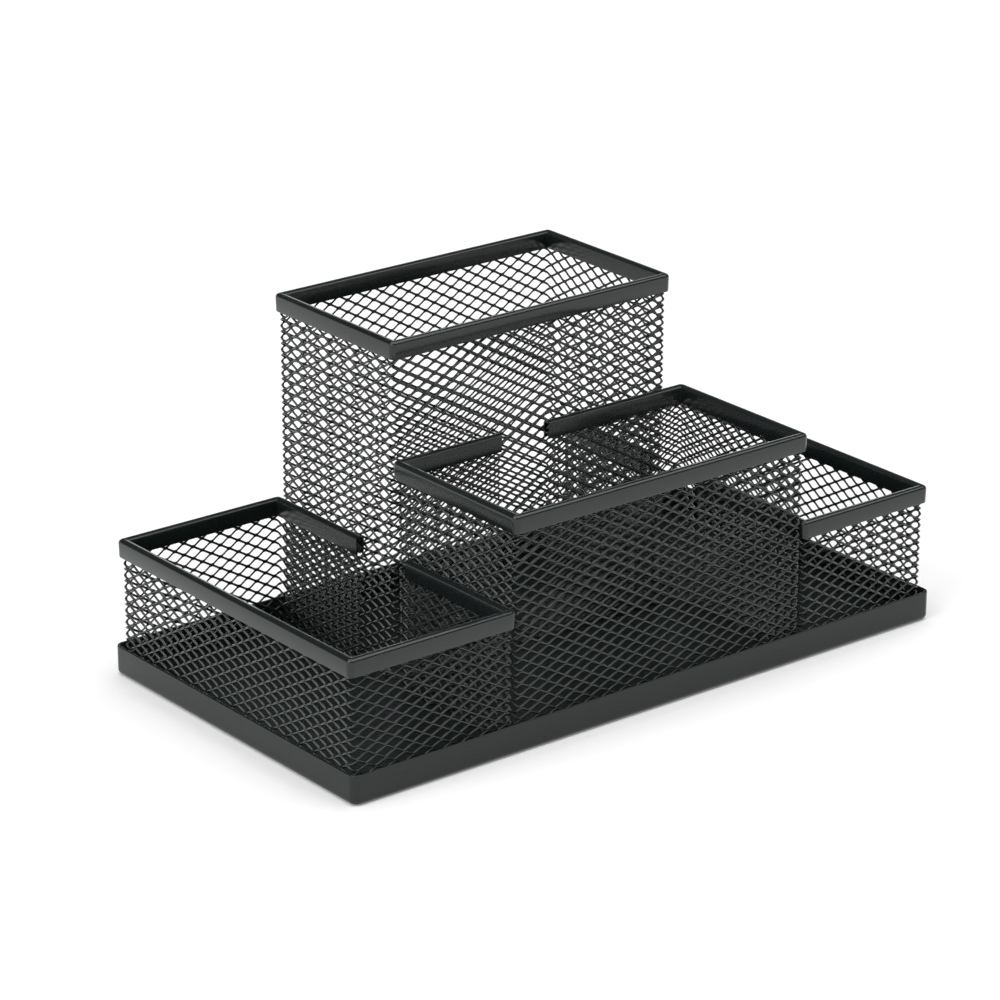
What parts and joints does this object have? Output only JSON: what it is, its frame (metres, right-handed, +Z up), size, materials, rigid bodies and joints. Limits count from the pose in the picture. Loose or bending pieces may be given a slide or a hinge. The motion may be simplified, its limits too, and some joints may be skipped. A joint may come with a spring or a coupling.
{
  "type": "mesh pen holder",
  "caption": "Black steel mesh desk organizer: a tall pen cup, a lower note box and shallow side trays, each with a folded rim, standing in a shallow lipped base tray.",
  "frame": {"origin": "middle of the underside of the base tray, on the desk", "axes": "+Z up, +X along the front edge to the right, -Y towards the user"},
  "size_m": [0.206, 0.112, 0.1005],
  "materials": {
    "base_paint": "satin",
    "rim_paint": "satin",
    "mesh_paint": "satin"
  },
  "bodies": {
    "root": {"base_tray": "base_paint", "pen_cup_mesh": "mesh_paint", "pen_cup_rim": "rim_paint", "note_box_mesh": "mesh_paint", "note_box_rim": "rim_paint", "left_tray_mesh": "mesh_paint", "left_tray_rim": "rim_paint", "right_tray_mesh": "mesh_paint", "right_tray_rim": "rim_paint"}
  },
  "joints": []
}
